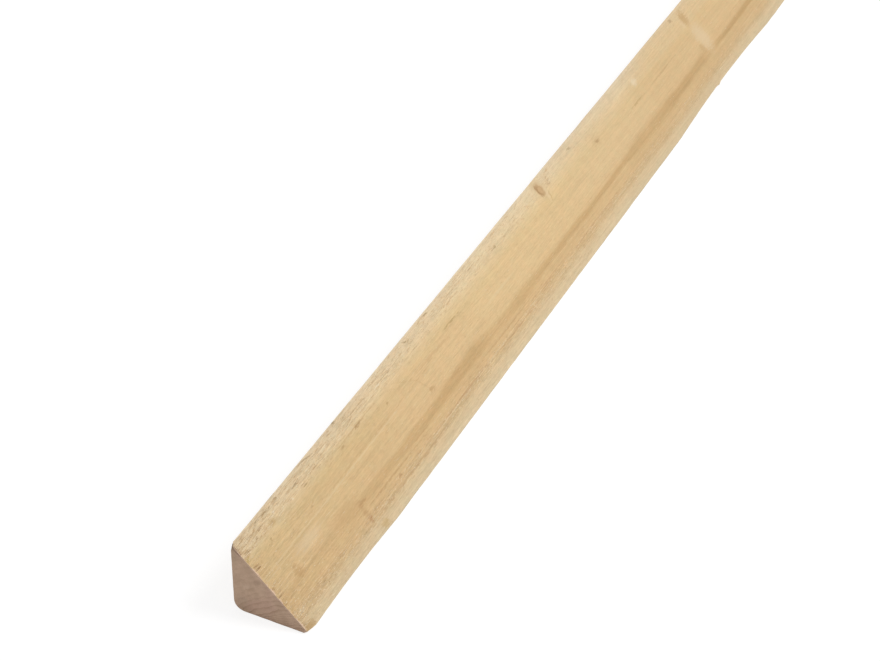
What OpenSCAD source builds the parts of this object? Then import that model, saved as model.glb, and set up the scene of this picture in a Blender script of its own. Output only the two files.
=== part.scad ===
// Triangular timber fillet: half of a square batten, ripped from corner to corner.
// It lies as it does in the angle between a deck and a wall, with one planed face
// down, the other planed face upright, and the rough sawn face sloping between them.
// Millimetres. X runs along the length, Y points to the upright face, and Z is up.
// The origin is on the floor, under the middle of the fillet's length and width.

/* [Batten] */
// Side of the square batten that the fillet is ripped from
batten_side = 50; // [32:1:75]
// Radius of the well rounded arris that becomes the fillet's heel
heel_radius = 6.5; // [1:0.5:10]
// Radius of the batten's other eased arrises, which the saw cuts through
arris_radius = 3; // [1:0.5:8]
// Length of the batten, and so of the fillet
fillet_length = 2400; // [900:100:4800]

/* [Rip cut] */
// Width of the kerf that the rip saw takes out between the batten's two halves
kerf = 3; // [1:0.5:5]

/* [Wane near the end] */
// Distance from the near end to the deepest point of this hollow in the toe edge
near_wane_at = 50; // [20:5:150]
// Length of this hollow to either side of its deepest point
near_wane_reach = 55; // [40:5:200]
// Depth of this hollow, up the sawn face from the toe edge
near_wane_depth = 1.2; // [0.5:0.1:4]

/* [Wane further along] */
// Distance from the near end to the deepest point of this hollow in the toe edge
far_wane_at = 665; // [400:5:750]
// Length of this hollow to either side of its deepest point
far_wane_reach = 95; // [40:5:200]
// Depth of this hollow, up the sawn face from the toe edge
far_wane_depth = 2.1; // [0.5:0.1:4]

/* [Knocked corners] */
// Length along the toe edge of the chip at the near end
toe_chip_length = 10; // [4:1:30]
// Width of this chip, up the sawn face on the end
toe_chip_width = 2.4; // [1:0.2:8]
// Length along the crest edge of the chip at the near end
crest_chip_length = 2; // [1:0.5:12]
// Width of this chip, down the sawn face on the end
crest_chip_width = 3; // [1:0.5:8]

/* [Hidden] */
$fn = 64;

// The saw follows the batten's diagonal, half a kerf to the waste side of it.
slope = 45;
sawn_leg = batten_side - kerf / sqrt(2);
slope_length = sawn_leg * sqrt(2);
// Where the rip cut meets an eased arris, as an angle round that arris from the planed
// face. A cut that misses the arris leaves a sharp edge, which is an angle of 0.
blunt_angle = max(0, slope - asin(min(1, kerf / (2 * arris_radius))));
blunt_reach = blunt_angle > 0
    ? batten_side - arris_radius * (1 - sin(blunt_angle))
    : sawn_leg;
// How far the blunted toe and crest lie inside the corners that sharp edges would have
edge_setback = (sawn_leg - blunt_reach) * sqrt(2);
// The cutters run past the faces that they open, and right through the section.
overcut = 5;
through = 2 * batten_side;
// A wane is so long and shallow that its arc needs a fine circle.
wane_fn = 360;

// What easing takes off a square corner that lies at the origin
module arris_waste(radius) {
    difference() {
        translate([-overcut, -overcut]) square(radius + overcut);
        translate([radius, radius]) circle(r = radius);
    }
}

// Square batten with eased arrises, its heel corner at the origin
module batten_section() {
    difference() {
        square(batten_side);
        arris_waste(heel_radius);
        for (turn = [90, 180, 270])
            translate([batten_side / 2, batten_side / 2])
                rotate(turn)
                    translate([-batten_side / 2, -batten_side / 2])
                        arris_waste(arris_radius);
    }
}

// The half of the batten on the heel side of the rip cut
module fillet_section() {
    intersection() {
        batten_section();
        polygon([[0, 0], [sawn_leg, 0], [0, sawn_leg]]);
    }
}

// Stands the section up, with its heel at the foot of the upright face, and runs it along X
module blank() {
    translate([-fillet_length / 2, blunt_reach / 2, 0])
        mirror([0, 1, 0])
            rotate([90, 0, 90])
                linear_extrude(fillet_length) fillet_section();
}

// Puts its children on the sawn face: X from the near end, Y up the slope, Z out of the face.
// The slope starts where the sawn face would meet the floor in a sharp edge.
module on_sawn_face() {
    translate([-fillet_length / 2, blunt_reach / 2 - sawn_leg, 0])
        rotate([slope, 0, 0])
            children();
}

// Shallow hollow in the toe edge, where the batten's arris ran out into the round of the log
module wane(at, reach, depth) {
    radius = (reach * reach + depth * depth) / (2 * depth);
    translate([at, edge_setback + depth - radius, 0])
        cylinder(h = through, r = radius, center = true, $fn = wane_fn);
}

// Wedge knocked off the end of an edge, its square corner on the edge at the near end
module chip(length, width) {
    linear_extrude(through, center = true)
        polygon([
            [-overcut, -overcut],
            [length * (1 + overcut / width), -overcut],
            [-overcut, width * (1 + overcut / length)]
        ]);
}

module fillet() {
    color([0.84, 0.72, 0.54])
        difference() {
            blank();
            on_sawn_face() {
                wane(near_wane_at, near_wane_reach, near_wane_depth);
                wane(far_wane_at, far_wane_reach, far_wane_depth);
                translate([0, edge_setback, 0])
                    chip(toe_chip_length, toe_chip_width);
                translate([0, slope_length - edge_setback, 0])
                    mirror([0, 1, 0]) chip(crest_chip_length, crest_chip_width);
            }
        }
}

fillet();
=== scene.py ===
import math
import random

import bmesh
import bpy
from mathutils import Matrix, Vector


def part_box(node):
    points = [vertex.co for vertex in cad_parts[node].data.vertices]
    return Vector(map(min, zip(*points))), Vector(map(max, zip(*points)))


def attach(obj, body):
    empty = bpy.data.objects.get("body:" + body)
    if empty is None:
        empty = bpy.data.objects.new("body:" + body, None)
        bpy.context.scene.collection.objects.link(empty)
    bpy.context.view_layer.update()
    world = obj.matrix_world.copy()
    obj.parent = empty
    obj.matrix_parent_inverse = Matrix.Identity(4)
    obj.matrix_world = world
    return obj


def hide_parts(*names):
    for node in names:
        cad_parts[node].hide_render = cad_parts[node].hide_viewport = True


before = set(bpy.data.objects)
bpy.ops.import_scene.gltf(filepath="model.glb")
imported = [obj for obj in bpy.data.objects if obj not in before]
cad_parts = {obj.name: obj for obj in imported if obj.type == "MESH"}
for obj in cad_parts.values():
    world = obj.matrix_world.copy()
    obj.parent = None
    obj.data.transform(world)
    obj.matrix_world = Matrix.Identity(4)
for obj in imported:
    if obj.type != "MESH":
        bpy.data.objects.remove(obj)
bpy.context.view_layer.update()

bpy.ops.object.select_all(action="DESELECT")
scene = bpy.context.scene
scene.view_settings.view_transform = "Standard"


# The camera
# A long lens on a stand, a pace in front of the fillet's near end and a little to its left.
# It looks down along the fillet, which leaves the picture at the top.
photo_width = 880
focal_length_px = 2174.5
sensor_width = 36.0
# The fillet's length runs off to the right of the camera's heading.
heading = math.radians(25.378)
pitch_down = math.radians(37.200)
roll = math.radians(0.801)
# From the camera to the heel corner of the near end, in metres to the right, ahead and up
heel_corner_seen = (-0.11174, 0.86579, -0.85201)

(near_x, _, floor_z), (far_x, heel_y, _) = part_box("fillet")
heel_corner = Vector((near_x, heel_y, floor_z))
ahead = Vector((math.cos(heading), math.sin(heading), 0))
right = Vector((math.sin(heading), -math.cos(heading), 0))
up = Vector((0, 0, 1))
right_part, ahead_part, up_part = heel_corner_seen
camera_place = heel_corner - right * right_part - ahead * ahead_part - up * up_part

view_line = ahead * math.cos(pitch_down) - up * math.sin(pitch_down)
view_up = ahead * math.sin(pitch_down) + up * math.cos(pitch_down)
picture_right = right * math.cos(roll) + view_up * math.sin(roll)
picture_up = view_up * math.cos(roll) - right * math.sin(roll)

camera_data = bpy.data.cameras.new("camera")
camera_data.sensor_width = sensor_width
camera_data.lens = focal_length_px * sensor_width / photo_width
camera = bpy.data.objects.new("camera", camera_data)
scene.collection.objects.link(camera)
turned = Matrix((picture_right, picture_up, -view_line)).transposed()
camera.matrix_world = Matrix.Translation(camera_place) @ turned.to_4x4()
scene.camera = camera


# The studio
# A white floor and even white light all round, with one broad lamp above the sloping face,
# so that the near end lies in its own soft shade.
floor_size = 40.0
sky_strength = 0.50
lamp_energy = 1.45
lamp_spread = math.radians(28)
lamp_direction = Vector((0.34, -0.52, 0.78))

bpy.ops.mesh.primitive_plane_add(size=floor_size, location=(0, 0, floor_z))
floor = bpy.context.object
floor.name = "studio_floor"


class Wire:
    """An output socket of a material's nodes. A sum written on it adds Math nodes."""

    def __init__(self, socket):
        self.socket = socket

    def node(self, kind, settings=None, inputs=None, output=0):
        """Adds any node: its settings first, then the values or links of its sockets."""
        tree = self.socket.id_data
        node = tree.nodes.new(kind)
        for name, setting in (settings or {}).items():
            if name == "stops":
                elements = node.color_ramp.elements
                for element, (position, colour) in zip(elements, (setting[0], setting[-1])):
                    element.position = position
                    element.color = colour
                for position, colour in setting[1:-1]:
                    elements.new(position).color = colour
            else:
                setattr(node, name, setting)
        for name, value in (inputs or {}).items():
            if isinstance(value, Wire):
                tree.links.new(value.socket, node.inputs[name])
            else:
                node.inputs[name].default_value = value
        return Wire(node.outputs[output])

    def maths(self, operation, *others):
        """Adds a Math node on this wire, followed by the others."""
        return self.node(
            "ShaderNodeMath", {"operation": operation}, dict(enumerate((self, *others))))

    def __add__(self, other):
        return self.maths("ADD", other)

    def __sub__(self, other):
        return self.maths("SUBTRACT", other)

    def __rsub__(self, other):
        return self.node("ShaderNodeMath", {"operation": "SUBTRACT"}, {0: other, 1: self})

    def __mul__(self, other):
        return self.maths("MULTIPLY", other)

    def __truediv__(self, other):
        return self.maths("DIVIDE", other)

    def __pow__(self, other):
        return self.maths("POWER", other)

    __radd__ = __add__
    __rmul__ = __mul__


def new_material(name):
    """A material with an empty node tree, and the Object coordinates in it as a wire."""
    material = bpy.data.materials.new(name)
    material.use_nodes = True
    material.node_tree.nodes.clear()
    coordinates = material.node_tree.nodes.new("ShaderNodeTexCoord")
    return material, Wire(coordinates.outputs["Object"])


def show(shader):
    """Ends a material in this shader."""
    tree = shader.socket.id_data
    output = tree.nodes.new("ShaderNodeOutputMaterial")
    tree.links.new(shader.socket, output.inputs["Surface"])


def rays_that_see_white(wire):
    """1 for the rays to which the studio is plain white, and 0 for those that light the wood."""
    path = {name: wire.node("ShaderNodeLightPath", output=name)
            for name in ("Is Camera Ray", "Is Glossy Ray", "Is Transmission Ray")}
    seen = path["Is Camera Ray"] + path["Is Glossy Ray"] + path["Is Transmission Ray"]
    return seen.maths("MINIMUM", 1)


# Seen directly, the floor glows almost white and only its soft shadows darken it.
white = (1, 1, 1, 1)
floor_colour = (0.9, 0.9, 0.9, 1)
shadow_catch_colour = (0.3, 0.3, 0.3, 1)
glow_strength = 0.8
floor_material, floor_place = new_material("white_floor")
bare_floor = floor_place.node("ShaderNodeBsdfDiffuse", None, {"Color": floor_colour})
shadow_catch = floor_place.node("ShaderNodeBsdfDiffuse", None, {"Color": shadow_catch_colour})
glow = floor_place.node("ShaderNodeEmission", None, {"Color": white, "Strength": glow_strength})
seen_floor = floor_place.node("ShaderNodeAddShader", None, {0: shadow_catch, 1: glow})
show(floor_place.node(
    "ShaderNodeMixShader", None,
    {0: rays_that_see_white(floor_place), 1: bare_floor, 2: seen_floor}))
floor.data.materials.append(floor_material)

world = bpy.data.worlds.new("white_studio")
world.use_nodes = True
scene.world = world
world.node_tree.nodes.clear()
sky_colour = Wire(world.node_tree.nodes.new("ShaderNodeRGB").outputs[0])
sky_colour.socket.default_value = white
lights_wood = 1 - rays_that_see_white(sky_colour)
sky = sky_colour.node(
    "ShaderNodeBackground", None,
    {"Color": sky_colour, "Strength": 1 - lights_wood * (1 - sky_strength)})
world_output = world.node_tree.nodes.new("ShaderNodeOutputWorld")
world.node_tree.links.new(sky.socket, world_output.inputs["Surface"])

lamp_data = bpy.data.lights.new("broad_lamp", "SUN")
lamp_data.energy = lamp_energy
lamp_data.angle = lamp_spread
lamp = bpy.data.objects.new("broad_lamp", lamp_data)
lamp.rotation_euler = lamp_direction.to_track_quat("Z", "Y").to_euler()
scene.collection.objects.link(lamp)


# The fillet's body
# Half of a planed square batten of fast-grown softwood, ripped from corner to corner. Two faces
# are planed smooth, and the slope between them is rough from the saw.
batten_side = 0.050
heel_radius = 0.0065
heel_segments = 8
arris_radius = 0.003
arris_segments = 6
kerf = 0.003
# The rip cut is half a kerf to the waste side of the diagonal.
sawn_leg = batten_side - kerf / math.sqrt(2)
toe_corner = Vector((0, heel_y - sawn_leg, floor_z))
crest_corner = Vector((0, heel_y, floor_z + sawn_leg))
up_slope = (crest_corner - toe_corner).normalized()
slope_width = (crest_corner - toe_corner).length
lengthwise = Vector((1, 0, 0))
slope_out = lengthwise.cross(up_slope)

bpy.ops.object.select_all(action="DESELECT")
bpy.ops.mesh.primitive_cube_add(
    size=1, location=(0, heel_y - batten_side / 2, floor_z + batten_side / 2),
    scale=(far_x - near_x, batten_side, batten_side))
fillet = bpy.context.object
fillet.name = "sawn_fillet"
bpy.ops.object.transform_apply(location=True, rotation=True, scale=True)
bpy.ops.object.mode_set(mode="EDIT")


def pick(piece, kind, wanted):
    """Selects the piece's edges or faces that wanted() is true for, and nothing else."""
    bpy.ops.mesh.select_mode(type={"edges": "EDGE", "faces": "FACE"}[kind])
    bpy.ops.mesh.select_all(action="DESELECT")
    mesh = bmesh.from_edit_mesh(piece.data)
    for part in getattr(mesh, kind):
        part.select_set(wanted(part))
    bmesh.update_edit_mesh(piece.data)


def edges_along(direction, low=None, high=None, longer_than=0.0):
    """A test for edges in this direction, with their middle between low and high along X."""
    parallel = 0.9999

    def wanted(edge):
        start, end = (corner.co for corner in edge.verts)
        length = (end - start).length
        middle = (start.x + end.x) / 2
        return (length > longer_than
                and abs((end - start).dot(direction)) > parallel * length
                and (low is None or low < middle < high))

    return wanted


# The four arrises are eased, the heel's more than the rest, and the saw takes the outer half away.
long_edge = edges_along(lengthwise)
pick(fillet, "edges", lambda edge: (
    long_edge(edge) and all((end.co - heel_corner).yz.length < kerf for end in edge.verts)))
bpy.ops.mesh.bevel(offset=heel_radius, segments=heel_segments, affect="EDGES")
pick(fillet, "edges", lambda edge: (
    long_edge(edge) and all((end.co - heel_corner).yz.length > sawn_leg for end in edge.verts)))
bpy.ops.mesh.bevel(offset=arris_radius, segments=arris_segments, affect="EDGES")
bpy.ops.mesh.select_all(action="SELECT")
bpy.ops.mesh.bisect(plane_co=toe_corner, plane_no=slope_out, use_fill=True, clear_outer=True)

# Long strips divide each face, and are as narrow on the slope as the fibres that the saw tore.
# Only edges as long as a face's side are cut for them, not those of the eased arrises.
slope_strips = 64
planed_strips = 14
shortest_side = 0.02
for direction, strips in (
    (up_slope, slope_strips),
    (Vector((0, 1, 0)), planed_strips),
    (Vector((0, 0, 1)), planed_strips),
):
    pick(fillet, "edges", edges_along(direction, longer_than=shortest_side))
    bpy.ops.mesh.subdivide(number_cuts=strips - 1)

# Rows cut the length, closest at the near end, where the wood is worn and seen best.
# Each stretch has its end, from the near end, and the two numbers whose product is its rows.
stretches = ((0.040, 10, 5), (0.800, 20, 20), (2.360, 20, 20), (2.400, 5, 4))
for reach, _, _ in stretches[:-1]:
    bpy.ops.mesh.select_all(action="SELECT")
    bpy.ops.mesh.bisect(plane_co=(near_x + reach, 0, 0), plane_no=lengthwise)
start = 0.0
for reach, coarse, fine in stretches:
    low, high = near_x + start, near_x + reach
    for cuts in (coarse, fine):
        pick(fillet, "edges", edges_along(lengthwise, low, high))
        bpy.ops.mesh.subdivide(number_cuts=cuts - 1)
    start = reach

# Both ends are cut into small squares, so that they can be rough too.
end_square = 0.0015
# A face looks along an axis when its normal has at least this much of it.
nearly_all = 0.9


def faces_along_x(face):
    """A test for the faces of the two ends."""
    return abs(face.normal.x) > nearly_all


pick(fillet, "faces", faces_along_x)
for step in range(1, int(batten_side / end_square)):
    for axis, start in ((Vector((0, 0, 1)), floor_z), (Vector((0, -1, 0)), -heel_y)):
        bpy.ops.mesh.bisect(plane_co=axis * (start + step * end_square), plane_no=axis)
        pick(fillet, "faces", faces_along_x)
bpy.ops.object.mode_set(mode="OBJECT")

# Damage to the two thin edges: wane hollows in the toe, and a corner knocked off each.
# Lengths and widths are in metres, and places are measured from the near end.
edge_setback = 0.00015
wanes = ((0.050, 0.055, 0.0012), (0.665, 0.095, 0.0021))
toe_chip = (0.010, 0.0024)
crest_chip = (0.002, 0.003)
# A splinter of the toe's edge that is left standing in the second hollow
toe_nib = (0.6538, 0.0042, 0.0009)
# What an edge has lost moves the points near it inwards, less and less over this width.
squeezed_width = 0.014
# No distance counts as less than this, so that nothing is divided by zero.
least_distance = 1e-6


def chip_loss(along, chip):
    """How much a knocked corner takes off an edge."""
    length, width = chip
    return width * max(0.0, 1 - along / length)


def crest_loss(along):
    """How far the crest edge lies down the slope from its sharp corner."""
    return edge_setback + chip_loss(along, crest_chip)


def toe_loss(along):
    """How far the toe edge lies up the slope from its sharp corner."""
    loss = edge_setback
    for place, reach, depth in wanes:
        radius = (reach ** 2 + depth ** 2) / (2 * depth)
        drop = radius - math.sqrt(max(radius ** 2 - (along - place) ** 2, 0))
        loss = max(loss, edge_setback + depth - drop)
    nib_place, nib_reach, nib_height = toe_nib
    loss -= nib_height * max(0.0, 1 - abs(along - nib_place) / nib_reach)
    return max(loss, edge_setback + chip_loss(along, toe_chip))


for corner in fillet.data.vertices:
    along = corner.co.x - near_x
    depth = (toe_corner - corner.co).dot(slope_out)
    for edge_corner, inwards, loss in (
        (toe_corner, up_slope, toe_loss(along)),
        (crest_corner, -up_slope, crest_loss(along)),
    ):
        from_edge = (corner.co - edge_corner).dot(inwards)
        if loss > edge_setback and from_edge < squeezed_width:
            left = (squeezed_width - from_edge) / (squeezed_width - edge_setback)
            shift = (loss - edge_setback) * left
            # This is 0 on the slope, 1 on the planed face, and between them on the ends.
            on_planed_face = min(1.0, max(0.0, depth / max(from_edge, least_distance)))
            corner.co += shift * (inwards - on_planed_face * slope_out)

# Groups of the mesh's points that the saw, the planer and wear have each treated alike
groups = {name: fillet.vertex_groups.new(name=name)
          for name in ("sawn", "planed", "ends", "toe_and_crest", "worn")}
# A point is on a face when it lies this close to the face's plane.
skin = 0.00006
# The two thin edges are ragged over this width, and the saw's relief is least on them.
edge_reach = 0.0025
least_sawn = 0.3
# The torn band by the crest has a width and a length over which it fades, and never quite ends.
crest_band_width = 0.016
crest_band_length = 0.35
least_crest_band = 0.45
# The torn row near the toe lies this far from the crest.
toe_row_place = 0.0565
toe_row_width = 0.004
toe_row_share = 0.7
# The wood is torn this far along from the near end.
end_tear_length = 0.02


def weigh(corner, group, weight):
    """Puts a point of the mesh in a group, with a weight of 1 at most."""
    groups[group].add([corner.index], min(1.0, weight), "REPLACE")


for corner in fillet.data.vertices:
    along = corner.co.x - near_x
    depth = (toe_corner - corner.co).dot(slope_out)
    up_from_toe = (corner.co - toe_corner).dot(up_slope)
    to_edge = min(up_from_toe, slope_width - up_from_toe)
    at_end = min(along, far_x - near_x - along) < skin
    if at_end:
        weigh(corner, "ends", 1.0)
    elif depth < skin:
        weigh(corner, "sawn", least_sawn + to_edge / edge_reach)
        from_crest = slope_width - up_from_toe
        near_crest = max(0.0, 1 - from_crest / crest_band_width)
        near_crest *= max(least_crest_band, 1 - along / crest_band_length)
        off_toe_row = (from_crest - toe_row_place) / toe_row_width
        near_toe = toe_row_share * math.exp(-off_toe_row ** 2)
        near_end = math.exp(-along / end_tear_length)
        weigh(corner, "worn", max(near_crest, near_toe, near_end))
    else:
        weigh(corner, "planed", 1.0)
    if to_edge < edge_reach:
        weigh(corner, "toe_and_crest", (1 - to_edge / edge_reach) ** 2)

# The noise is turned to the slope, and each seed moves it by these steps.
slope_angle = math.radians(45)
seed_steps = (7.31, 3.17, 1.73)


def roughen(group, size, depth, contrast=1.0, turn=0.0, seed=0.0, detail=1):
    """Lowers the points of a group by up to depth, in a noise of this size along the length,
    up the slope and into the wood, turned in the slope's plane."""
    guide = bpy.data.objects.new("noise_guide", None)
    scene.collection.objects.link(guide)
    guide.rotation_mode = "ZYX"
    guide.rotation_euler = (slope_angle, 0, turn)
    guide.scale = size
    guide.location = [seed * step for step in seed_steps]
    clouds = bpy.data.textures.new("noise", "CLOUDS")
    clouds.noise_scale = 1.0
    clouds.noise_depth = detail
    clouds.contrast = contrast
    bpy.context.view_layer.update()
    relief = fillet.modifiers.new("relief", "DISPLACE")
    relief.texture = clouds
    relief.texture_coords = "OBJECT"
    relief.texture_coords_object = guide
    relief.vertex_group = group
    relief.mid_level = 1.0
    relief.strength = depth
    bpy.ops.object.modifier_apply(modifier=relief.name)
    bpy.data.objects.remove(guide)
    bpy.data.textures.remove(clouds)


# The slope is uneven, has the saw's marks across it and fibres along it, and is torn where worn.
# The thin edges are ragged, the planed faces wave a little, and the ends are rough.
saw_slant = math.radians(8)
roughen("sawn", (0.300, 0.018, 0.018), 0.00025, seed=1)
roughen("sawn", (0.0045, 0.060, 0.060), 0.00016, contrast=1.4, turn=saw_slant, seed=2)
roughen("sawn", (0.090, 0.0018, 0.0018), 0.00016, contrast=1.2, seed=3)
roughen("worn", (0.026, 0.0013, 0.0013), 0.00022, contrast=1.9, seed=4, detail=2)
roughen("toe_and_crest", (0.016, 0.006, 0.006), 0.0003, contrast=1.6, seed=5, detail=3)
roughen("planed", (0.200, 0.012, 0.012), 0.00010, seed=6)
roughen("ends", (0.004, 0.0130, 0.0028), 0.00013, contrast=1.3, seed=7, detail=2)

# Only edges that turn by more than this stay sharp.
sharp_over = math.radians(32)
bpy.ops.object.shade_smooth_by_angle(angle=sharp_over)


# The fillet's wood
# Softwood cut some way off the pith. The growth rings stand steeply to the sawn slope and
# lie flatter in the underside, and knots run out from the pith through the fillet.
# The wood's pattern is laid out in millimetres.
MM = 1000
heel_place = heel_y * MM
leg = sawn_leg * MM
# The pith runs beside the batten, this far out from the heel corner and up from the floor.
pith_out = 57.0
pith_up = -44.0
# The rings sway. These are the waves of it to a millimetre of length and of the section, and
# how far it moves a ring.
sway_along = 0.006
sway_across = 0.03
sway_size = 2.6
# The rings are this wide, and narrower in two bands by the crest and near the toe. Each band has
# where it starts and ends down the slope, and how many more rings it holds.
ring_width = 3.6
ring_bands = ((0.0, 13.0, 3.5), (50.0, 62.0, 4.0))


def srgb(red, green, blue):
    """A colour as a paint chart gives it, from 0 to 255, as the linear colour of a shader."""
    linear = []
    for level in (red / 255, green / 255, blue / 255):
        linear.append(level / 12.92 if level <= 0.04045 else ((level + 0.055) / 1.055) ** 2.4)
    return (*linear, 1.0)


def noise(vector, scale, detail=2.0, roughness=0.5):
    """A solid noise around 0.5."""
    return vector.node(
        "ShaderNodeTexNoise", {"noise_dimensions": "3D"},
        {"Vector": vector, "Scale": scale, "Detail": detail, "Roughness": roughness})


def join(x, y, z):
    """A vector of wires and numbers, with at least one wire."""
    return next(part for part in (x, y, z) if isinstance(part, Wire)).node(
        "ShaderNodeCombineXYZ", None, {0: x, 1: y, 2: z})


def fade(value, start, end):
    """0 at start, 1 at end, and smooth between."""
    return value.node(
        "ShaderNodeMapRange", {"interpolation_type": "SMOOTHSTEP", "clamp": False},
        {"Value": value, "From Min": start, "From Max": end, "To Min": 0.0, "To Max": 1.0})


def blend(share, first, second, how="MIX"):
    """Mixes two colours, with this share of the second."""
    return share.node(
        "ShaderNodeMix", {"data_type": "RGBA", "blend_type": how},
        {0: share, 6: first, 7: second}, output=2)


def brighten(colour, gain):
    """Multiplies a colour by a number."""
    return colour.node("ShaderNodeVectorMath", {"operation": "SCALE"}, {0: colour, "Scale": gain})


# Knots: how far along the length and down the slope each comes out on the sawn face, its radius
# there, how far its branch slants along the length for each unit out, and how dark.
knots = (
    (401.9, 8.8, 3.95, -0.25, 1.0),
    (1018.0, 33.0, 3.0, -0.10, 0.9),
    (1640.0, 15.0, 2.6, -0.20, 0.8),
    (1995.0, 47.0, 3.4, -0.15, 1.0),
)
# Each branch comes up through the section this steeply, and starts as a point this far inside.
branch_out = -0.05
branch_up = 0.998
branch_reach = 70.0
# The rings bend towards a knot by this share of their distance from it.
knot_pull = 0.7


def branch_through(place, knot):
    """Across the branch at each point, in the branch's own radii there."""
    along, down_slope, radius, slant, _ = knot
    out = down_slope / math.sqrt(2)
    branch = Vector((slant, branch_out, branch_up)).normalized()
    root = Vector((along, out, leg - out)) - branch * branch_reach
    from_root = place.node(
        "ShaderNodeVectorMath", {"operation": "SUBTRACT"}, {0: place, 1: tuple(root)})
    outwards = from_root.node(
        "ShaderNodeVectorMath", {"operation": "DOT_PRODUCT"}, {0: from_root, 1: tuple(branch)},
        output=1)
    crossing = from_root.node(
        "ShaderNodeVectorMath", {"operation": "CROSS_PRODUCT"}, {0: from_root, 1: tuple(branch)})
    across = crossing.node("ShaderNodeVectorMath", {"operation": "LENGTH"}, {0: crossing}, output=1)
    # Behind its root there is no branch, and the distance must not turn negative.
    outwards = outwards.maths("MAXIMUM", 1.0)
    return across / (outwards * (radius / branch_reach))


def grown_wood(coordinates):
    """The wood at each point, in millimetres: its place, how far along the length it is, where
    its ring meets the sawn slope, its depth under the slope, its ring number, and the knots."""
    place = coordinates.node(
        "ShaderNodeMapping", {"vector_type": "POINT"},
        {"Vector": coordinates, "Location": (-near_x * MM, heel_place, 0),
         "Scale": (MM, -MM, MM)})
    parts = [place.node("ShaderNodeSeparateXYZ", None, {0: place}, output=n) for n in range(3)]
    along, out, height = parts
    sway = noise(join(along * sway_along, out * sway_across, height * sway_across), 1.0, 2.0)
    ring_radius = ((out - pith_out) ** 2 + (height - pith_up) ** 2) ** 0.5
    ring_radius = ring_radius + (sway - 0.5) * sway_size
    # Both legs of this sum are lengths to the sharp corner at the crest.
    legs = pith_out + leg - pith_up
    lean = leg - pith_up - pith_out
    square = ring_radius ** 2 * 2.0 - lean ** 2
    down_slope = (legs - square.maths("SQRT")) * (math.sqrt(2) / 2)
    reaches = []
    for knot in knots:
        _, knot_down, *_ = knot
        across = branch_through(place, knot)
        reaches.append(across)
        pull = (across * across * -0.5).maths("EXPONENT")
        down_slope = down_slope - (down_slope - knot_down) * pull * knot_pull
    depth = (leg - out - height) * (1 / math.sqrt(2))
    ring = down_slope * (1 / ring_width)
    for start, end, more_rings in ring_bands:
        ring = ring + fade(down_slope, start, end) * more_rings
    return place, along, down_slope, depth, ring, reaches


def late_wood(ring):
    """The dark outer side of each ring: a slow rise and a sharp edge."""
    steepness = 3.0
    edge_share = 0.10
    part = ring.maths("FRACT")
    return (1 - part) ** steepness * fade(part, 0.0, edge_share)


def grain(along, down_slope, depth, length, across, detail=2.0, seed=0.0):
    """A noise around 0.5 that is drawn out along the fibres, its grains of this length and width
    in millimetres."""
    return noise(join(along * (1 / length), down_slope * (1 / across) + seed,
                      depth * (1 / across)), 1.0, detail)


def steps(value, span, levels):
    """A level that changes smoothly over a span of values, from pairs of a value and a level."""
    stops = [(at / span, (level, level, level, 1)) for at, level in levels]
    share = value * (1 / span)
    return share.node("ShaderNodeValToRGB", {"stops": stops}, {0: share})


def away_from(place, centre, half_sizes, turn):
    """How far each point is from a mark's centre, where 1 is the mark's edge. The mark lies in
    the place's first two directions, and is turned by an angle from the first to the second."""
    cosine, sine = math.cos(math.radians(turn)), math.sin(math.radians(turn))
    squares = 0.0
    for half_size, axis in zip(half_sizes, (Vector((cosine, sine)), Vector((-sine, cosine)))):
        axis = axis / half_size
        measured = place.node(
            "ShaderNodeVectorMath", {"operation": "DOT_PRODUCT"}, {0: place, 1: (*axis, 0)},
            output=1)
        from_middle = measured - axis.dot(Vector(centre))
        squares = from_middle * from_middle + squares
    return squares.maths("SQRT")


def stain(colour, away, strength, tone):
    """Colours the inside of a mark, from how far away each point is. Its edge is soft."""
    soft_edge = (0.40, 1.50)
    return blend((1 - fade(away, *soft_edge)) * strength, colour, tone)


def finish_wood(colour, relief, strength, height, roughness, gloss):
    """Ends a material in wood of this colour, with a bump from its relief, in metres."""
    bump = relief.node(
        "ShaderNodeBump", None, {"Strength": strength, "Distance": height, "Height": relief})
    show(colour.node(
        "ShaderNodeBsdfPrincipled", None,
        {"Base Color": colour, "Roughness": roughness, "Specular IOR Level": gloss,
         "Normal": bump}))


# The sawn slope: pale and fuzzy near the crest, straw below it, a tan streak, then pale again.
# Each band has its place down the slope and its colour, and the last lies at the toe.
slope_bands = (
    (0.0, srgb(230, 210, 179)), (3.5, srgb(228, 205, 168)), (9.0, srgb(229, 204, 163)),
    (13.0, srgb(228, 200, 155)), (18.0, srgb(225, 194, 145)), (25.0, srgb(224, 192, 144)),
    (34.0, srgb(225, 193, 145)), (38.5, srgb(223, 190, 142)), (48.0, srgb(219, 186, 137)),
    (53.5, srgb(218, 185, 138)), (57.5, srgb(213, 184, 140)), (60.5, srgb(221, 195, 154)),
    (67.7, srgb(221, 200, 163)),
)
slope_span, _ = slope_bands[-1]
streak_colour = srgb(201, 165, 115)
streak_edge = (0.35, 1.25)
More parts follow.
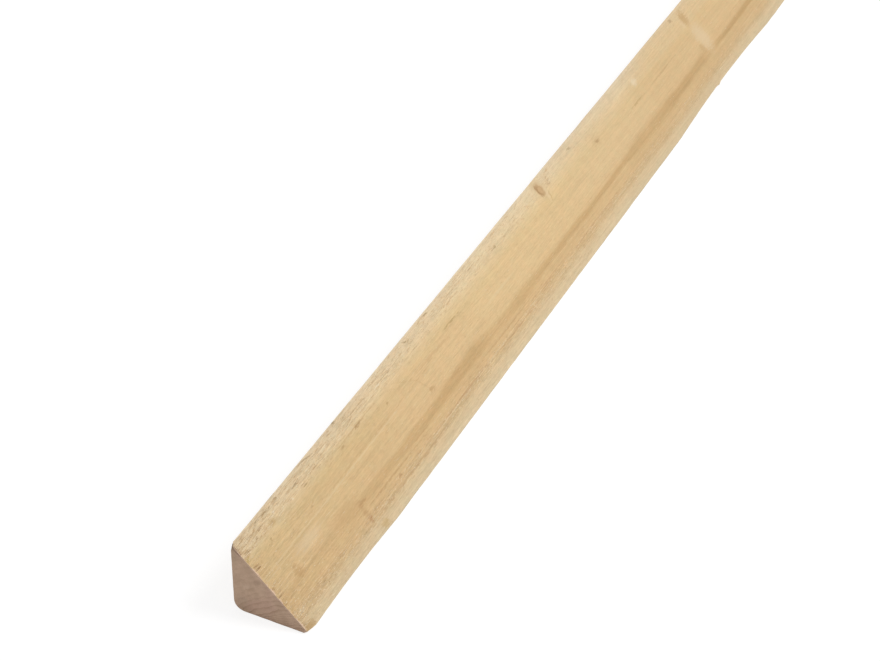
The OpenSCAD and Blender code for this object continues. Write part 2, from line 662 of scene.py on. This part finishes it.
# How bright the face is along its length, and the shape of the tan streak: its middle in
# hundreds of millimetres down the slope, half its width in tens, and how strong it is.
span = 2400.0
middle_unit = 100.0
half_unit = 10.0
face_light = ((0, 0.895), (25, 0.928), (60, 0.945), (150, 0.985), (300, 1.0), (460, 0.99),
              (590, 0.965), (700, 0.96), (1100, 0.98), (1700, 0.96), (2400, 0.97))
streak_middle = ((0, 0.440), (100, 0.440), (200, 0.445), (252, 0.430), (300, 0.450),
                 (350, 0.448), (500, 0.445), (530, 0.437), (600, 0.445), (660, 0.437),
                 (700, 0.447), (1100, 0.430), (1700, 0.450), (2400, 0.440))
streak_half = ((0, 0.34), (130, 0.34), (205, 0.38), (250, 0.52), (280, 0.30), (312, 0.42),
               (360, 0.25), (495, 0.22), (530, 0.52), (570, 0.48), (610, 0.36), (655, 0.44),
               (690, 0.25), (900, 0.30), (1500, 0.45), (2400, 0.35))
streak_strength = ((0, 0.35), (50, 0.25), (85, 0.40), (160, 0.58), (205, 0.72), (250, 0.80),
                   (278, 0.30), (310, 0.55), (420, 0.68), (500, 0.60), (545, 0.50), (600, 0.75),
                   (655, 0.65), (676, 0.20), (695, 0.70), (760, 0.85), (2000, 0.6))
# Marks on the face. Each has its place along the length and down the slope, half its length and
# half its width, the angle it is turned by, its strength and its colour.
marks = (
    (131, 13.2, 26, 0.55, -1, 0.36, srgb(184, 148, 102)),
    (131, 13.3, 5, 0.9, 0, 0.42, srgb(160, 124, 80)),
    (110, 15.2, 1.7, 0.8, 0, 0.46, srgb(164, 126, 82)),
    (140, 25.4, 70, 0.45, 0, 0.34, srgb(192, 158, 112)),
    (92, 27.2, 86, 0.6, 0, 0.42, srgb(236, 211, 168)),
    (45, 33.0, 12, 3.6, 0, 0.40, srgb(228, 205, 170)),
    (29.0, 3.6, 10, 0.34, 0, 0.70, srgb(146, 122, 84)),
    (83.0, 2.3, 6, 0.40, 9, 0.60, srgb(152, 126, 88)),
    (62.4, 6.8, 4.5, 0.36, -4, 0.60, srgb(150, 126, 92)),
    (69.5, 11.9, 2.4, 0.42, 0, 0.55, srgb(156, 126, 82)),
    (45.6, 3.1, 1.3, 0.7, 0, 0.60, srgb(146, 120, 86)),
    (22.1, 8.0, 1.3, 0.8, 0, 0.60, srgb(148, 114, 86)),
    (17.3, 9.8, 0.9, 0.7, 0, 0.50, srgb(152, 120, 80)),
    (24.1, 16.3, 1.0, 0.6, 0, 0.50, srgb(156, 122, 74)),
    (62.8, 22.2, 2.4, 0.45, -20, 0.40, srgb(168, 134, 92)),
    (38.2, 7.5, 1.1, 0.6, 0, 0.75, srgb(242, 230, 208)),
    (55.0, 11.3, 0.9, 0.5, 0, 0.65, srgb(240, 228, 200)),
    (97.7, 6.0, 5.5, 0.40, 0, 0.50, srgb(240, 224, 190)),
    (79, 40.0, 14, 3.8, 0, 0.38, srgb(203, 167, 118)),
    (24.0, 40.0, 3.4, 3.0, 20, 0.45, srgb(188, 149, 100)),
    (23.5, 36.2, 2.2, 1.2, 0, 0.50, srgb(184, 146, 100)),
    (122, 49.4, 44, 0.5, 0.6, 0.42, srgb(178, 138, 92)),
    (272, 50.3, 62, 0.5, 0, 0.32, srgb(184, 146, 100)),
    (90.5, 50.0, 2.4, 7.5, 4, 0.34, srgb(188, 146, 102)),
    (94.0, 44.2, 3.4, 1.2, 0, 0.36, srgb(174, 132, 88)),
    (90.3, 55.0, 1.4, 2.0, 0, 0.36, srgb(176, 128, 92)),
    (152, 57.9, 58, 0.6, 0, 0.40, srgb(184, 150, 110)),
    (215, 54.4, 34, 0.42, 0, 0.42, srgb(182, 138, 100)),
    (300, 55.8, 42, 0.42, 0, 0.38, srgb(182, 140, 104)),
    (350, 52.0, 34, 0.42, 0, 0.38, srgb(184, 142, 102)),
    (432, 54.0, 46, 0.45, 0, 0.34, srgb(186, 146, 106)),
    (97, 63.5, 3.6, 2.6, 0, 0.50, srgb(194, 163, 105)),
    (4.5, 64.6, 4.4, 2.8, 0, 0.60, srgb(180, 144, 94)),
    (32, 10.9, 3.6, 2.0, 0, 0.45, srgb(192, 162, 106)),
    (2.2, 13.5, 1.6, 1.4, 0, 0.60, srgb(184, 158, 90)),
    # Painted shadow under the burr at the near end, by the crest
    (0.9, 5.4, 0.8, 3.4, 0, 0.85, srgb(144, 112, 88)),
    # Painted shade in the corner knocked off the crest
    (1.0, 1.5, 1.3, 1.3, 0, 0.85, srgb(112, 92, 66)),
    (4.8, 10.4, 2.6, 0.5, 2, 0.65, srgb(150, 120, 78)),
    (3.2, 21.2, 2.7, 0.5, 0, 0.80, srgb(152, 114, 74)),
    (2.9, 19.2, 2.3, 0.4, 3, 0.65, srgb(158, 120, 80)),
    (3.4, 40.4, 2.3, 0.5, 6, 0.70, srgb(158, 120, 80)),
    (198.5, 35.9, 2.8, 1.1, 8, 0.45, srgb(178, 142, 96)),
    (249, 18.3, 8.5, 0.6, -1, 0.52, srgb(160, 134, 84)),
    (220, 22.8, 21, 1.1, 2, 0.40, srgb(204, 168, 122)),
    (305, 29.8, 20, 0.8, 0, 0.45, srgb(232, 209, 165)),
    (116.1, 0.8, 2.2, 0.5, 20, 0.65, srgb(146, 122, 86)),
    (206.3, 3.9, 2.6, 0.5, 20, 0.65, srgb(148, 122, 78)),
    (236.6, 2.8, 3.0, 0.5, 14, 0.65, srgb(142, 118, 74)),
    (184.5, 20.3, 10.3, 0.5, 31, 0.20, srgb(188, 152, 106)),
    (194.8, 30.7, 5.1, 0.5, 66, 0.24, srgb(184, 148, 102)),
    (134.7, 5.8, 11, 0.38, 0, 0.45, srgb(168, 140, 98)),
    (175.2, 6.9, 12, 0.36, 1, 0.40, srgb(172, 144, 104)),
    (163.5, 7.6, 3.0, 0.50, 0, 0.60, srgb(244, 230, 204)),
    (128.8, 13.9, 2.2, 0.7, 15, 0.35, srgb(160, 124, 80)),
    (165.6, 47.6, 13, 0.42, 0, 0.40, srgb(178, 138, 94)),
    (161.0, 19.3, 1.4, 0.6, 0, 0.45, srgb(164, 130, 86)),
    (130.7, 53.0, 1.8, 0.9, 0, 0.45, srgb(166, 122, 88)),
    (328.0, 9.5, 1.6, 0.8, 0, 0.55, srgb(158, 132, 86)),
    (455.5, 6.1, 2.6, 0.6, 8, 0.45, srgb(160, 134, 94)),
    (486.5, 18.6, 2.4, 1.1, 18, 0.60, srgb(166, 132, 90)),
    (486, 17.0, 6.0, 4.0, 0, 0.30, srgb(204, 172, 128)),
    (554, 23.2, 10, 0.55, 0, 0.42, srgb(172, 142, 90)),
    (606, 23.6, 20, 0.55, 0, 0.38, srgb(184, 152, 106)),
    (566.6, 12.0, 3.4, 2.5, 0, 0.55, srgb(238, 221, 190)),
    # Painted shade at the knot's near, low side
    (399.2, 9.2, 0.7, 2.6, -14, 0.45, srgb(150, 112, 72)),
    (405.6, 13.2, 1.6, 4.4, 10, 0.62, srgb(242, 216, 176)),
    (407.5, 15.7, 0.8, 3.8, 17, 0.38, srgb(194, 158, 110)),
    (653.6, 4.2, 2.4, 1.3, 25, 0.50, srgb(168, 140, 106)),
    (670.0, 11.0, 4.6, 6.4, -7, 0.70, srgb(199, 164, 115)),
    (665.0, 13.5, 2.2, 4.6, -7, 0.40, srgb(234, 206, 166)),
    (675.5, 31.5, 8.0, 12.5, -12, 0.62, srgb(230, 206, 168)),
    (666.5, 38.0, 3.0, 4.0, -15, 0.35, srgb(192, 156, 106)),
)

# Broad washes of painted light and shade, and of colour. Each has where it starts and ends
# along the length, where it starts and ends down the slope, and what it multiplies the colour by.
light_and_colour_washes = (
    (-90, 150, 12, 37, (0.965, 0.965, 0.945)),
    (265, 430, -9, 44, (1.026, 1.042, 1.046)),
    (430, 565, 15, 40, (1.018, 1.045, 1.070)),
    # Darker and browner along the far crest: painted shade, with some tint
    (580, 780, -9, 12, (0.985, 0.940, 0.865)),
)
soft_along = 25.0
soft_down = 3.0
# Fuzz stands up by the crest, in one row near the toe and round the near end. Each pair is where
# it starts, drops or stops, down the slope or along the length. By the crest its share is 1.
crest_fuzz_stops = (9.0, 15.0)
toe_fuzz_starts = (51.5, 54.0)
toe_fuzz_share = 0.8
toe_fuzz_drops = (58.5, 61.5)
toe_fuzz_drop = 0.5
end_fuzz_stops = (5.0, 90.0)
end_fuzz_share = 0.55
# Further along the wood is cleaner: where that starts and is reached, and how much of it goes.
crest_fuzz_goes = (60.0, 260.0, 0.60)
toe_fuzz_goes = (330.0, 560.0, 0.55)
grain_goes = (280.0, 600.0, 0.45)
# How far from the ends the cross-cut tore the face, and how far its pale burr comes over it
tear_stops = (1.5, 6.0)
burr_stops = (0.7, 1.5)
# How far the bands waver, and how far the marks' outlines are moved, along and down the slope
band_waver = 4.0
ragged_along = 3.0
ragged_down = 1.6


def fall(value, start, end, share):
    """1 at start, and less by this share at end."""
    return 1 - fade(value, start, end) * share


sawn_material, coordinates = new_material("sawn_face")
place, along, down_slope, depth, ring, reaches = grown_wood(coordinates)
waver = grain(along, down_slope, depth, length=34.0, across=12.0, seed=5.0) - 0.5
wavy_slope = down_slope + waver * band_waver
band_place = wavy_slope * (1 / slope_span)
colour = band_place.node(
    "ShaderNodeValToRGB",
    {"stops": [(stop / slope_span, band) for stop, band in slope_bands]}, {0: band_place})
middle, half, strength = (
    steps(along, span, levels) for levels in (streak_middle, streak_half, streak_strength))
off_streak = (wavy_slope - middle * middle_unit) / (half * half_unit)
in_streak = (1 - fade(off_streak.maths("ABSOLUTE"), *streak_edge)) * strength
colour = blend(in_streak, colour, streak_colour)

crest_fuzz = (1 - fade(down_slope, *crest_fuzz_stops)) * fall(along, *crest_fuzz_goes)
in_row = toe_fuzz_share - fade(down_slope, *toe_fuzz_drops) * toe_fuzz_drop
toe_fuzz = fade(down_slope, *toe_fuzz_starts) * in_row * fall(along, *toe_fuzz_goes)
end_fuzz = (1 - fade(along, *end_fuzz_stops)) * end_fuzz_share
fuzz = crest_fuzz.maths("MAXIMUM", toe_fuzz)
fuzz = fuzz.maths("MAXIMUM", end_fuzz)
calm = fall(along, *grain_goes)


def shown(in_fuzz, all_over):
    """How strongly something shows: one share of it in the fuzz, and another all over, which
    falls along the length as the wood gets cleaner."""
    return fuzz * in_fuzz + calm * all_over


streaky = grain(along, down_slope, depth, length=95.0, across=3.4, seed=11.0)
fibres = grain(along, down_slope, depth, length=26.0, across=0.80, detail=3.0)
flecks = grain(along, down_slope, depth, length=4.2, across=0.75, seed=3.0)
patches = noise(place, scale=0.11)
rings = late_wood(ring)
gain = (steps(along, span, face_light)
        + (fibres - 0.5) * shown(in_fuzz=0.18, all_over=0.28)
        + (flecks - 0.5) * shown(in_fuzz=0.28, all_over=0.27)
        + (streaky - 0.5) * 0.14 + (patches - 0.5) * 0.10 - rings * 0.035)
colour = brighten(colour, gain)
hue = noise(place, scale=0.16, detail=1.0)
redder = (1.012, 0.995, 0.99, 1)
greener = (0.99, 1.004, 1.0, 1)
tint = blend(fade(hue, 0.35, 0.65), redder, greener)
colour = colour.node(
    "ShaderNodeVectorMath", {"operation": "MULTIPLY"}, {0: colour, 1: tint})
# Each wash lays its painted light and shade, and its colour, over a soft-edged patch.
for low_along, high_along, low_down, high_down, light_and_colour_multiplier in light_and_colour_washes:
    share = fade(along, low_along - soft_along, low_along + soft_along)
    share = share * (1 - fade(along, high_along - soft_along, high_along + soft_along))
    share = share * fade(down_slope, low_down - soft_down, low_down + soft_down)
    share = share * (1 - fade(down_slope, high_down - soft_down, high_down + soft_down))
    colour = blend(share, colour, (*light_and_colour_multiplier, 1), "MULTIPLY")
# Light and dark fibre lines, and pale and dark specks: a painted highlight where a fibre's end
# stands up, and painted shade where one is gone.
lines = grain(along, down_slope, depth, length=48.0, across=0.62, detail=1.0, seed=23.0)
lit_and_shaded_specks = grain(along, down_slope, depth, length=2.0, across=0.70, detail=1.0, seed=17.0)
for seen, strength, tone in (
    (fade(lines, 0.56, 0.70), fuzz * 0.22 + 0.05, srgb(242, 224, 190)),
    (1 - fade(lines, 0.30, 0.40), shown(in_fuzz=0.17, all_over=0.09), srgb(178, 146, 100)),
    (fade(lit_and_shaded_specks, 0.68, 0.76), shown(in_fuzz=0.46, all_over=0.20), srgb(244, 229, 200)),
    (1 - fade(lit_and_shaded_specks, 0.24, 0.32), shown(in_fuzz=0.42, all_over=0.25), srgb(172, 136, 92)),
):
    colour = blend(seen * strength, colour, tone)

# The cross-cut tore the face's edge at the ends, and its burr stands over it in places.
torn_colour = srgb(158, 120, 78)
burr_colour = srgb(226, 194, 172)
to_end = along.maths("MINIMUM", (far_x - near_x) * MM - along)
torn = noise(join(along * 0.22, down_slope * 0.85, 3.0), scale=1.0)
torn = fade(torn, 0.52, 0.66) * (1 - fade(to_end, *tear_stops))
colour = blend(torn * 0.55, colour, torn_colour)
burr = noise(join(0.0, down_slope * 0.16, 8.0), scale=1.0, detail=1.0)
burr = fade(burr, 0.42, 0.56) * (1 - fade(to_end + (flecks - 0.5) * 2.0, *burr_stops))
colour = blend(burr * 0.75, colour, burr_colour)

# Each mark's outline is ragged, and the fibres break it up.
broken = (flecks - 0.5) * 1.3 + (lit_and_shaded_specks - 0.5) * 1.3
moved_along = (noise(place, scale=0.45) - 0.5) * ragged_along
moved_down = (flecks - 0.5) * ragged_down
ragged = place.node(
    "ShaderNodeVectorMath", {"operation": "ADD"},
    {0: join(along, down_slope, 0.0), 1: join(moved_along, moved_down, 0.0)})
for mark_along, mark_down, half_length, half_width, turn, strength, tone in marks:
    away = away_from(ragged, (mark_along, mark_down), (half_length, half_width), turn)
    colour = stain(colour, away + broken, strength, tone)

# A knot is pale brown, with rings of its own and a soft halo. Its rim is a little darker all
# round, and painted shade makes it much darker on the low side towards the near end.
for (knot_along, knot_down, _, _, darkness), across in zip(knots, reaches):
    wobble = across + (noise(place, scale=0.35) - 0.5) * 0.7
    shaded_near_side = 1 - fade(along, knot_along - 3.0, knot_along + 2.5)
    shaded_low_side = fade(down_slope, knot_down - 6.0, knot_down + 1.0)
    core = 1 - fade(wobble, 0.50, 1.30)
    halo = (1 - fade(wobble, 1.0, 2.3)) * (1 - core)
    # The rim's extra dark on the near, low side is painted shade.
    rim = ((1 - fade(wobble, 0.60, 1.05)) * fade(wobble, 0.25, 0.70)
           * (shaded_near_side * shaded_low_side * 0.85 + 0.15))
    core_rings = late_wood(wobble * 4.3) * core
    for seen, strength, tone in (
        (halo, 0.32, srgb(212, 180, 132)),
        (core, 0.78, srgb(203, 166, 120)),
        (rim, 0.70, srgb(160, 122, 80)),
        (core_rings, 0.30, srgb(160, 120, 80)),
    ):
        colour = blend(seen * (strength * darkness), colour, tone)
relief = fibres * 0.7 + flecks * 0.7 + streaky * 0.3
finish_wood(colour, relief, strength=0.5, height=0.0004, roughness=0.86, gloss=0.25)

# The planed faces show the same rings more sharply, with no torn fibres.
planed_by_crest = srgb(226, 198, 155)
planed_by_toe = srgb(220, 189, 144)
planed_ring = srgb(186, 143, 95)
pore_colour = srgb(186, 146, 100)
# Painted shade darkens the corner that is knocked off the crest: its place, half sizes and colour.
chip_shade_place = (0.6, 1.0)
chip_shade_half_sizes = (2.2, 2.6)
chip_shade_colour = srgb(112, 92, 66)

planed_material, coordinates = new_material("planed_face")
place, along, down_slope, depth, ring, reaches = grown_wood(coordinates)
streaky = grain(along, down_slope, depth, length=140.0, across=3.4, seed=11.0)
fibres = grain(along, down_slope, depth, length=45.0, across=0.5, detail=3.0)
pores = grain(along, down_slope, depth, length=5.0, across=0.30, seed=8.0)
rings = late_wood(ring)
colour = blend(fade(down_slope, 20.0, 60.0), planed_by_crest, planed_by_toe)
colour = brighten(colour, 1 + (fibres - 0.5) * 0.26 + (streaky - 0.5) * 0.16)
colour = blend(fade(pores, 0.62, 0.74) * 0.30, colour, pore_colour)
ring_show = fade(streaky, 0.35, 0.65) * 0.28 + 0.10
colour = blend(rings * ring_show, colour, planed_ring)
for (_, _, _, _, darkness), across in zip(knots, reaches):
    wobble = across + (noise(place, scale=0.35) - 0.5) * 0.4
    core = 1 - fade(wobble, 0.9, 1.1)
    rim = core * fade(wobble, 0.5, 0.95)
    colour = blend(core * (0.8 * darkness), colour, srgb(188, 144, 98))
    colour = blend(rim * (0.7 * darkness), colour, srgb(140, 98, 62))
# Painted shade in the corner knocked off the crest
away = away_from(join(along, down_slope, 0.0), chip_shade_place, chip_shade_half_sizes, turn=0)
colour = blend((1 - fade(away, 0.5, 1.3)) * 0.80, colour, chip_shade_colour)
relief = fibres * 0.4 + pores * 0.2 - rings * 0.12
finish_wood(colour, relief, strength=0.35, height=0.0003, roughness=0.62, gloss=0.35)

# The ends cut across the fibres, which drink the light and look darker and greyer. The rings
# are clear only towards the toe, and the saw left a pale burr under the sloping face.
pale_end = srgb(208, 178, 153)
dark_end = srgb(193, 164, 140)
pink_blotch = srgb(206, 170, 152)
end_ring = srgb(154, 122, 100)
end_burr = srgb(226, 198, 176)
# Marks on the end. Each has its place out from the heel corner and up from the floor, half its
# two sizes, the angle it is turned by, its strength and its colour.
end_marks = (
    (15.2, 25.4, 2.4, 1.7, 35, 0.45, srgb(160, 132, 112)),
    # Painted shade in the corner knocked off the crest
    (0.8, 45.6, 1.2, 2.2, 0, 0.70, srgb(128, 104, 82)),
    # Painted shadow along the chipped edge under the sloping face
    (3.3, 43.4, 3.6, 0.8, -45, 0.75, srgb(132, 100, 82)),
    (1.6, 40.0, 2.0, 6.0, 0, 0.40, srgb(176, 154, 128)),
    (9.0, 20.0, 3.0, 1.6, 30, 0.35, srgb(224, 196, 172)),
    (6.0, 8.0, 3.5, 3.0, 0, 0.30, srgb(178, 156, 134)),
)

end_material, coordinates = new_material("end_grain")
place, _, down_slope, depth, ring, _ = grown_wood(coordinates)
out, up_high = (place.node("ShaderNodeSeparateXYZ", None, {0: place}, output=n) for n in (1, 2))
on_end = join(out, up_high, 0.0)
rings = late_wood(ring + (noise(place, scale=0.12, detail=1.0) - 0.5) * 1.2)
cells = noise(place, scale=1.5, detail=3.0)
mottle = noise(place, scale=0.15, detail=4.0, roughness=0.6)
blotches = noise(place, scale=0.07, detail=1.0)
ring_show = fade(down_slope + (mottle - 0.5) * 30.0, 22.0, 62.0) * 0.72 + 0.10
colour = blend(fade(mottle, 0.30, 0.70), pale_end, dark_end)
colour = blend(fade(blotches, 0.45, 0.70) * 0.45, colour, pink_blotch)
colour = brighten(colour, 1 + (cells - 0.5) * 0.30)
for mark_out, mark_up, half_across, half_up, turn, strength, tone in end_marks:
    away = away_from(on_end, (mark_out, mark_up), (half_across, half_up), turn)
    colour = stain(colour, away + (mottle - 0.5) * 2.0, strength, tone)
colour = blend(rings * ring_show, colour, end_ring)
burr = 1 - fade(depth + (cells - 0.5) * 1.2, 0.25, 1.0)
colour = blend(burr * 0.55, colour, end_burr)
relief = cells * 0.8 - rings * 0.4
finish_wood(colour, relief, strength=0.6, height=0.0004, roughness=0.9, gloss=0.2)

# A face belongs to an end or to the slope when its normal points mostly that way.
mostly = 0.75
sawn_slot, planed_slot, end_slot = range(3)
for material in (sawn_material, planed_material, end_material):
    fillet.data.materials.append(material)
for face in fillet.data.polygons:
    if abs(face.normal.x) > mostly:
        face.material_index = end_slot
    elif face.normal.dot(slope_out) > mostly:
        face.material_index = sawn_slot
    else:
        face.material_index = planed_slot

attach(fillet, "root")
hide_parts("fillet")


# The torn fibres
# Slivers that the rip saw tore loose and left standing on the sloping face, most of them by the
# crest, in one row near the toe and round the near end.
sliver_count = 4200
# How narrow a sliver is at its root and its tip, and how far its middle arches up, as shares
root_taper = 0.6
tip_taper = 0.15
arch = 0.25
near_middle = 0.1

bpy.ops.object.select_all(action="DESELECT")
bpy.ops.mesh.primitive_cube_add(size=1)
slivers = bpy.context.object
slivers.name = "torn_fibres"
bpy.ops.object.mode_set(mode="EDIT")
for side, taper in ((-1, root_taper), (1, tip_taper)):
    pick(slivers, "faces", lambda face: face.normal.x * side > nearly_all)
    bpy.ops.transform.resize(value=(1, taper, taper), center_override=(side / 2, 0, 0))
pick(slivers, "edges", lambda edge: abs(edge.verts[0].co.x - edge.verts[1].co.x) > nearly_all)
bpy.ops.mesh.subdivide(number_cuts=1)
pick(slivers, "edges", lambda edge: all(abs(end.co.x) < near_middle for end in edge.verts))
bpy.ops.transform.translate(value=(0, 0, arch))
bpy.ops.object.mode_set(mode="OBJECT")
sliver_points = [corner.co.copy() for corner in slivers.data.vertices]

copies = slivers.modifiers.new("copies", "ARRAY")
copies.count = sliver_count
copies.use_relative_offset = False
copies.use_constant_offset = True
copies.constant_offset_displace = (0, 0, 0)
bpy.ops.object.modifier_apply(modifier=copies.name)

# Kinds of sliver: their share, the band down the slope that they stand in, how far along they
# reach, half of them within a third of that, their longest and widest, and their greatest tilt.
# A reach below zero is measured from the far end.
kinds = (
    (0.36, (1.6, 12.0), 420.0, 8.0, 0.34, 5.0),
    (0.20, (52.5, 59.5), 700.0, 6.0, 0.30, 5.0),
    (0.05, (2.0, 63.5), 10.0, 3.0, 0.36, 12.0),
    (0.34, (2.0, 63.5), 2380.0, 6.0, 0.28, 4.0),
    (0.05, (2.0, 63.5), -12.0, 3.0, 0.36, 12.0),
)
# A sliver's length, width and thickness lie between these shares of the longest, of the widest
# and of its own width. Short slivers, near ones and flat ones come up more often, by these powers.
length_shares = (0.25, 1.0)
width_shares = (0.45, 1.0)
thickness_shares = (0.5, 0.8)
favour_short = 1.5
favour_near = 1.6
favour_flat = 2
turn_spread = 0.05
end_margin = 0.3
# Slivers keep this many of a knot's radii away from it, and are dropped from this high.
knot_margin = 2
drop_height = 0.01
# The middle of a sliver's root lies this share of its thickness above the wood.
lift = 0.1
biggest_knot = max(radius for _, _, radius, _, _ in knots)
down = -up_slope
seed = 11
luck = random.Random(seed)
for number in range(sliver_count):
    lot = luck.random()
    for share, band, reach, longest, widest, most_tilt in kinds:
        if lot < share:
            break
        lot -= share
    length = longest * luck.uniform(*length_shares) ** favour_short / MM
    width = widest * luck.uniform(*width_shares) / MM
    thickness = width * luck.uniform(*thickness_shares)
    along_mm = max(length * MM + end_margin, abs(reach) * luck.random() ** favour_near)
    if reach < 0:
        along_mm = (far_x - near_x) * MM - along_mm
    down_mm = luck.uniform(*band)
    while any(math.hypot(along_mm - knot_along, down_mm - knot_down) < knot_margin * radius
              for knot_along, knot_down, radius, _, _ in knots):
        along_mm += knot_margin * biggest_knot
    turn = luck.gauss(0, turn_spread)
    tilt = math.radians(most_tilt) * luck.random() ** favour_flat
    points_to = luck.choice((-1, 1))
    foot = crest_corner + down * (down_mm / MM) + lengthwise * (near_x + along_mm / MM)
    _, landed, _, _ = fillet.ray_cast(foot + slope_out * drop_height, -slope_out)
    ahead_axis = (lengthwise * points_to * math.cos(turn) + down * math.sin(turn)).normalized()
    side_axis = slope_out.cross(ahead_axis)
    sliver_axis = ahead_axis * math.cos(tilt) + slope_out * math.sin(tilt)
    out_axis = slope_out * math.cos(tilt) - ahead_axis * math.sin(tilt)
    for index, point in enumerate(sliver_points):
        slivers.data.vertices[number * len(sliver_points) + index].co = (
            landed + sliver_axis * (point.x + 0.5) * length + side_axis * point.y * width
            + out_axis * (point.z + lift) * thickness)

# Slivers are darker and lighter than the wood, in patches as long and wide as these sizes.
patch_length = 7
patch_width = 0.7
dark_sliver = srgb(204, 174, 132)
pale_sliver = srgb(240, 222, 190)
fibre_material, coordinates = new_material("torn_fibre")
place = coordinates.node(
    "ShaderNodeMapping", {"vector_type": "POINT"},
    {"Vector": coordinates, "Scale": (MM / patch_length, MM / patch_width, MM / patch_width)})
patch = noise(place, scale=1.0, detail=1.0)
colour = blend(fade(patch, 0.35, 0.6), dark_sliver, pale_sliver)
show(colour.node(
    "ShaderNodeBsdfPrincipled", None,
    {"Base Color": colour, "Roughness": 0.85, "Specular IOR Level": 0.25}))
slivers.data.materials.append(fibre_material)
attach(slivers, "root")
